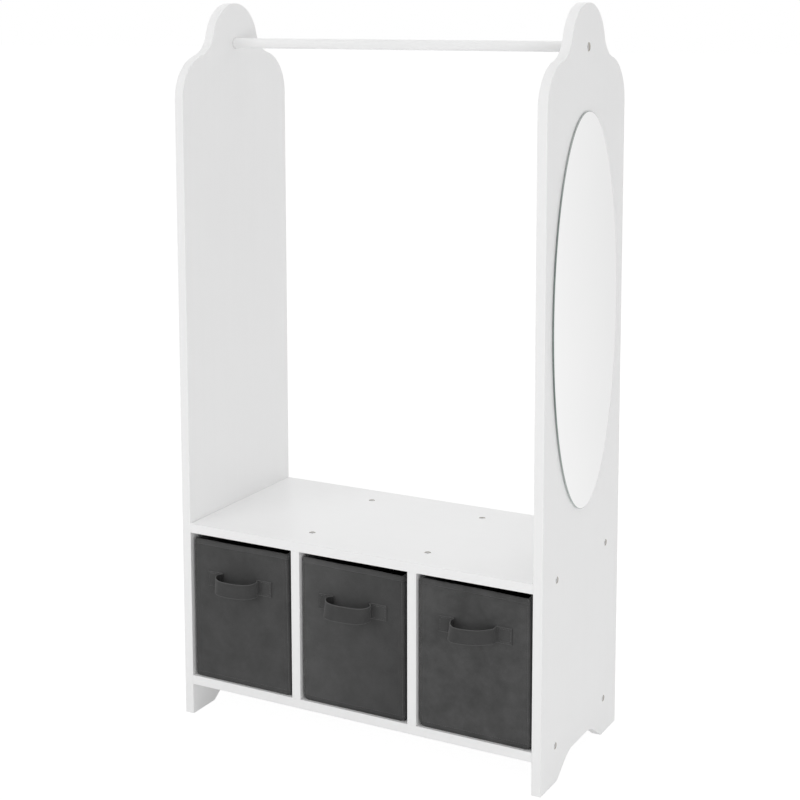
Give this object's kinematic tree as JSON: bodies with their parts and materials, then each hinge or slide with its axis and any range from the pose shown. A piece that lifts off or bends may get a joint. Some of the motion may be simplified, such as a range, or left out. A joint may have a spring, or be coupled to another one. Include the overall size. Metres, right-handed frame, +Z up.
{
  "type": "dress up storage unit",
  "caption": "Children's dress up storage unit: knob-topped side panels joined by a hanging rail, a bench over bays with pull-out fabric bins, and an oval mirror on one side.",
  "frame": {"origin": "on the floor, under the middle of the unit's footprint, handle loops included; the panels' mid-depth is 12 mm behind it", "axes": "+X to the unit's right (the mirror's side) as seen from the front, +Y to the back, +Z up"},
  "size_m": [0.6228, 0.324, 1.1369],
  "materials": {
    "white_board": "satin white paint over a smooth board",
    "white_rail": "satin white paint over a round wooden rod",
    "back_board": "thin hardboard, white on both faces",
    "mirror_glass": "silvered, with a dark green polished edge",
    "foam_tape": "white foam",
    "screw_steel": "zinc plated",
    "raw_wood": "raw beech",
    "bin_fabric": "dark grey non-woven fabric with turned hems",
    "bin_lining": "thin grey non-woven fabric",
    "bin_board": "plain grey-brown board",
    "floor_board": "board wrapped in grey fabric",
    "strap": "folded and stitched strap"
  },
  "bodies": {
    "carcass": {"left_side_panel": "white_board", "right_side_panel": "white_board", "top_shelf": "white_board", "base_shelf": "white_board", "left_divider": "white_board", "right_divider": "white_board", "back_panel": "back_board", "hanging_rail": "white_rail", "oval_mirror": "mirror_glass", "mirror_tape": "foam_tape", "left_panel_screws": "screw_steel", "right_panel_screws": "screw_steel", "rail_screws": "screw_steel", "shelf_screws": "screw_steel", "base_screws": "screw_steel", "left_panel_dowels": "raw_wood", "right_panel_dowels": "raw_wood", "divider_dowels": "raw_wood"},
    "left_bin": {"left_bin_cover": "bin_fabric", "left_bin_lining": "bin_lining", "left_bin_wall_boards": "bin_board", "left_bin_base_board": "floor_board", "left_bin_handle": "strap"},
    "centre_bin": {"centre_bin_cover": "bin_fabric", "centre_bin_lining": "bin_lining", "centre_bin_wall_boards": "bin_board", "centre_bin_base_board": "floor_board", "centre_bin_handle": "strap"},
    "right_bin": {"right_bin_cover": "bin_fabric", "right_bin_lining": "bin_lining", "right_bin_wall_boards": "bin_board", "right_bin_base_board": "floor_board", "right_bin_handle": "strap"}
  },
  "joints": [
    {"name": "left_bin_slide", "type": "slide", "parent": "carcass", "child": "left_bin", "axis": [0, -1, 0], "range_m": [0, 0.3]},
    {"name": "centre_bin_slide", "type": "slide", "parent": "carcass", "child": "centre_bin", "axis": [0, -1, 0], "range_m": [0, 0.3]},
    {"name": "right_bin_slide", "type": "slide", "parent": "carcass", "child": "right_bin", "axis": [0, -1, 0], "range_m": [0, 0.3]}
  ]
}
